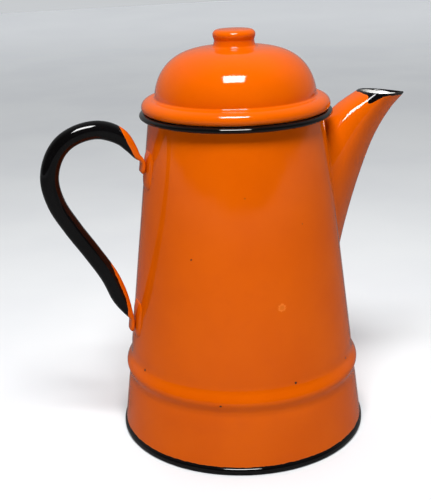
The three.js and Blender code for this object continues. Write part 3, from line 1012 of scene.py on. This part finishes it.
def build_collar():
    band_r = mouth_r - COLLAR_PLAY
    flange_z = brim_top_z - LID_T - 2 * FIT
    low = POT_H - COLLAR_H
    outside = densify([(band_r, low + 0.3), (band_r, flange_z - COLLAR_FLANGE)], 1.5)
    outside += arc(band_r + COLLAR_FLANGE, flange_z - COLLAR_FLANGE, COLLAR_FLANGE,
                   COLLAR_FLANGE, 180, 90, 8)[1:]
    inside = [(r, min(z, flange_z)) for r, z in offset_left(outside, COLLAR_T)[::-1]]
    tip = arc(band_r - COLLAR_T / 2, low + COLLAR_T / 2, COLLAR_T / 2, COLLAR_T / 2, 180, 360, 6)
    obj = revolve("collar_enamel", outside + inside[:-1] + tip, [white_plain])
    waves(obj, 0.05, 12, 23)
    return obj


def build_knob():
    foot = dome_top_z + FIT
    top = foot + KNOB_H
    waist, edge_z = foot + KNOB_WAIST_H, top - KNOB_EDGE
    spread = KNOB_FOOT_R - KNOB_WAIST_R
    outside = [(KNOB_FOOT_R + 0.5, foot - 0.52), (KNOB_FOOT_R + 0.15, foot - 0.3),
               (KNOB_WAIST_R + spread * 0.7, foot + 0.2),
               (KNOB_WAIST_R + spread * 0.38, foot + KNOB_WAIST_H * 0.3),
               (KNOB_WAIST_R + spread * 0.1, foot + KNOB_WAIST_H * 0.66),
               (KNOB_WAIST_R, waist),
               (KNOB_WAIST_R + (KNOB_R - KNOB_WAIST_R) * 0.4, waist + 0.9),
               (KNOB_R - 0.12, edge_z - 0.9)]
    outside += arc(KNOB_R - KNOB_EDGE, edge_z, KNOB_EDGE, KNOB_EDGE * 0.9, 0, 74, 14)
    outside += [(KNOB_R * 0.55, top - 0.16), (KNOB_R * 0.35, top - 0.04), (KNOB_R * 0.15, top),
                (0, top)]
    line, lengths = smooth_line([(r, 0, z) for r, z in outside], 3)
    outside = [(max(p[0], 0.0), p[2]) for p in line]
    outside[-1] = (0.0, top)
    inside = offset_left(outside, LID_T)[::-1]
    inside[0] = (0.0, top - LID_T)
    inside[-1] = (KNOB_FOOT_R - LID_T, foot - 0.4)
    inside = [(max(r, 0.0), z) for r, z in inside]
    obj = revolve("knob_enamel", inside + outside, [orange_plain], sides=128)
    waves(obj, 0.05, 9, 25)
    return obj


for piece, node, slot in (
    (build_lid(), "lid_dome", "orange_enamel"),
    (build_collar(), "lid_collar", "white_enamel"),
    (build_knob(), "lid_knob", "orange_enamel"),
):
    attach(piece, "lid")
    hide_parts(node)

# ---- Stage -----------------------------------------------------------------------------


# The floor far behind the pot glows a little: painted light that stands in for the room's light on
# it.
FAR_FLOOR_GLOW = 0.3
# The floor's colour where the enamel mirrors it.
MIRRORED_FLOOR = (0.14, 0.14, 0.14)


def build_floor():
    size, cells = 6.0, 8
    verts, faces = [], []
    for j in range(cells + 1):
        for i in range(cells + 1):
            verts.append((size * (i / cells - 0.5), size * (j / cells - 0.5), 0))
    for j in range(cells):
        for i in range(cells):
            a = j * (cells + 1) + i
            faces.append((a, a + 1, a + cells + 2, a + cells + 1))
    obj = make_object("floor", [Vector(v) / MM for v in verts], faces, [floor_material()])
    return obj


def floor_material():
    n = Nodes("pale_floor")
    shader = n.add("ShaderNodeBsdfPrincipled")
    n.link(shader.outputs[0], n.out.inputs["Surface"])
    place = n.add("ShaderNodeTexCoord").outputs["Object"]
    patch = n.noise(place, 5, 3)
    colour = n.mix(n.ramp(patch, 0.3, 0.7), (0.80, 0.81, 0.815), (0.75, 0.76, 0.775))
    mirrored = n.add("ShaderNodeLightPath").outputs["Is Glossy Ray"]
    n.link(n.mix(mirrored, colour, MIRRORED_FLOOR), shader.inputs["Base Color"])
    shader.inputs["Roughness"].default_value = 0.85
    # Painted light: the floor glows, more the farther it is from the pot.
    away = n.add("ShaderNodeVectorMath", operation="LENGTH")
    n.link(place, away.inputs[0])
    shader.inputs["Emission Color"].default_value = (0.93, 0.96, 1.0, 1)
    n.link(n.ramp(away.outputs["Value"], 0.5, 2.6, 0.0, FAR_FLOOR_GLOW),
           shader.inputs["Emission Strength"])
    n.link(n.bump(n.noise(place, 60, 3), 0.0004, 0.3), shader.inputs["Normal"])
    return n.material


floor = build_floor()

CAMERA_AZIMUTH = -18.0
CAMERA_BACK = 0.55527
CAMERA_HEIGHT = 0.30207
CAMERA_YAW, CAMERA_PITCH, CAMERA_ROLL = -0.0256, 0.3321, -0.0322
CAMERA_LENS = 69.97


# One softbox, above and in front of the pot and a little to its left.
KEY_PLACE = (-0.149, -0.412, 0.995)
KEY_TARGET = (-0.013, -0.039, 0.15)
KEY_WIDTH, KEY_HEIGHT = 0.40, 0.28
KEY_POWER = 13.2


def build_camera():
    turn = Matrix.Rotation(math.radians(CAMERA_AZIMUTH), 3, "Z")
    ahead = Vector((math.sin(CAMERA_YAW) * math.cos(CAMERA_PITCH),
                    math.cos(CAMERA_YAW) * math.cos(CAMERA_PITCH), -math.sin(CAMERA_PITCH)))
    right = ahead.cross(Vector((0, 0, 1))).normalized()
    up = right.cross(ahead)
    c, s = math.cos(CAMERA_ROLL), math.sin(CAMERA_ROLL)
    right, up = right * c + up * s, up * c - right * s
    axes = [turn @ v for v in (right, up, -ahead)]
    place = turn @ Vector((0, -CAMERA_BACK, CAMERA_HEIGHT))
    data = bpy.data.cameras.new("camera")
    data.lens = CAMERA_LENS
    data.sensor_width = 36
    data.clip_start = 0.01
    camera = bpy.data.objects.new("camera", data)
    bpy.context.scene.collection.objects.link(camera)
    matrix = Matrix.Identity(4)
    for column, axis in enumerate(axes):
        for row in range(3):
            matrix[row][column] = axis[row]
    matrix.translation = place
    camera.matrix_world = matrix
    bpy.context.scene.camera = camera


def area_light(name, place, target, width, height, power):
    data = bpy.data.lights.new(name, "AREA")
    data.shape = "RECTANGLE"
    data.size, data.size_y = width, height
    data.energy = power
    light = bpy.data.objects.new(name, data)
    bpy.context.scene.collection.objects.link(light)
    light.location = place
    way = Vector(target) - Vector(place)
    light.rotation_euler = way.to_track_quat("-Z", "Y").to_euler()


# The room's light in front of the pot and behind it, the share of it that the enamel mirrors,
# and how bright the room is where the camera sees it.
ROOM_FRONT, ROOM_BACK = 0.012, 0.95
MIRRORED_ROOM = 0.3
BACKDROP = 0.62


def build_world():
    """A pale room behind the pot, dim in front of it and overhead, and pale where it is seen."""
    made = bpy.data.worlds.new("studio")
    made.use_nodes = True
    tree = made.node_tree
    background = tree.nodes["Background"]
    way = tree.nodes.new("ShaderNodeTexCoord")
    side = tree.nodes.new("ShaderNodeVectorMath")
    side.operation = "DOT_PRODUCT"
    turn = math.radians(CAMERA_AZIMUTH)
    side.inputs[1].default_value = (-math.sin(turn), math.cos(turn), 0.12)
    tree.links.new(way.outputs["Generated"], side.inputs[0])
    fade = tree.nodes.new("ShaderNodeMapRange")
    fade.interpolation_type = "SMOOTHSTEP"
    fade.inputs["From Min"].default_value = -0.35
    fade.inputs["From Max"].default_value = 0.75
    fade.inputs["To Min"].default_value = ROOM_FRONT
    fade.inputs["To Max"].default_value = ROOM_BACK
    tree.links.new(side.outputs["Value"], fade.inputs["Value"])
    path = tree.nodes.new("ShaderNodeLightPath")
    seen = tree.nodes.new("ShaderNodeMix")
    seen.inputs["B"].default_value = BACKDROP
    tree.links.new(path.outputs["Is Camera Ray"], seen.inputs["Factor"])
    mirrored = tree.nodes.new("ShaderNodeMapRange")
    mirrored.inputs["To Min"].default_value = 1.0
    mirrored.inputs["To Max"].default_value = MIRRORED_ROOM
    tree.links.new(path.outputs["Is Glossy Ray"], mirrored.inputs["Value"])
    room = tree.nodes.new("ShaderNodeMath")
    room.operation = "MULTIPLY"
    tree.links.new(fade.outputs["Result"], room.inputs[0])
    tree.links.new(mirrored.outputs["Result"], room.inputs[1])
    tree.links.new(room.outputs["Value"], seen.inputs["A"])
    tree.links.new(seen.outputs["Result"], background.inputs["Strength"])
    background.inputs["Color"].default_value = (0.94, 0.97, 1.0, 1)
    bpy.context.scene.world = made


bpy.context.scene.view_settings.view_transform = "Standard"
build_camera()
build_world()
area_light("key", KEY_PLACE, KEY_TARGET, KEY_WIDTH, KEY_HEIGHT, KEY_POWER)
